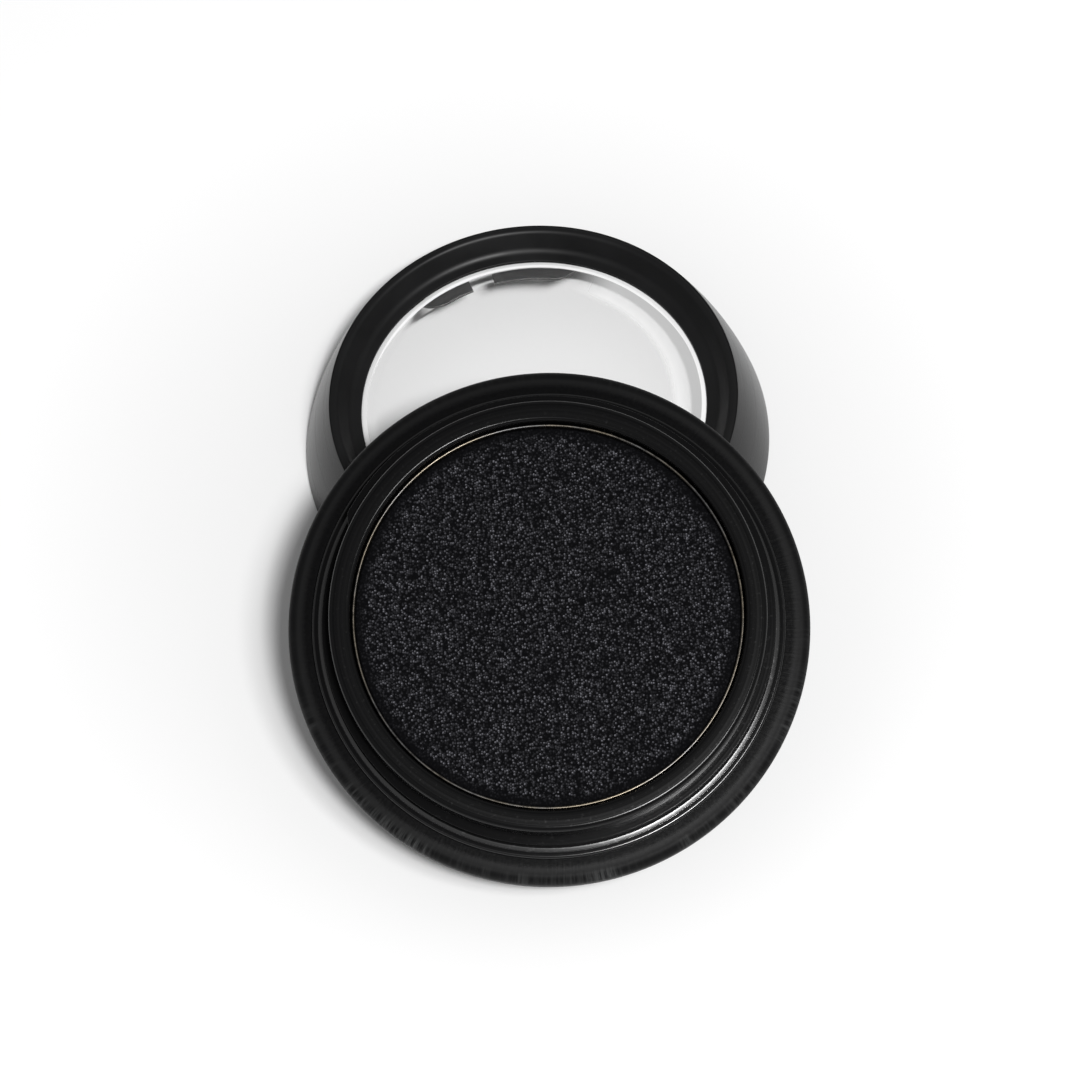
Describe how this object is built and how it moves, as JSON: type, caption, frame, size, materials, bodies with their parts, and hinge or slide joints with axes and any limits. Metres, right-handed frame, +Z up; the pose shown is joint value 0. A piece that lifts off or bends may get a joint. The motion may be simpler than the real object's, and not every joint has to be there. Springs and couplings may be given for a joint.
{
  "type": "eyeshadow pot",
  "caption": "Round eyeshadow pot with pressed shimmer powder in a metal pan, leaning open on its flared screw lid with a clear window.",
  "frame": {"origin": "on the table, at the centre of the footprint of the open pot and its lid together", "axes": "+Z up; +Y from the pot towards the lid that it leans on; the pot's powder faces -Y and up"},
  "size_m": [0.035, 0.054, 0.0182],
  "materials": {
    "lid_black": "satin moulded black, glossier on the flared side",
    "window_clear": "clear polished plastic",
    "retainer_black": "plain moulded black",
    "base_black": "matte black with fine turning marks",
    "neck_black": "high-gloss moulded black",
    "adhesive": "soft translucent grey adhesive film",
    "label_black": "blank matte sticker",
    "pan_metal": "drawn metal with a thin bright rolled rim",
    "powder": "pressed black powder with dense fine shimmer"
  },
  "bodies": {
    "lid": {"lid_shell": "lid_black", "lid_window": "window_clear", "window_retainer": "retainer_black"},
    "pot": {"base_shell": "base_black", "neck_insert": "neck_black", "pan_adhesive": "adhesive", "base_label": "label_black"},
    "refill": {"pan": "pan_metal", "powder_cake": "powder"}
  },
  "joints": [
    {"name": "pot_lift", "type": "slide", "parent": "lid", "child": "pot", "axis": [0, -0.3024, 0.9532], "range_m": [0, 0.03]},
    {"name": "refill_lift", "type": "slide", "parent": "pot", "child": "refill", "axis": [0, -0.3024, 0.9532], "range_m": [0, 0.012]}
  ]
}
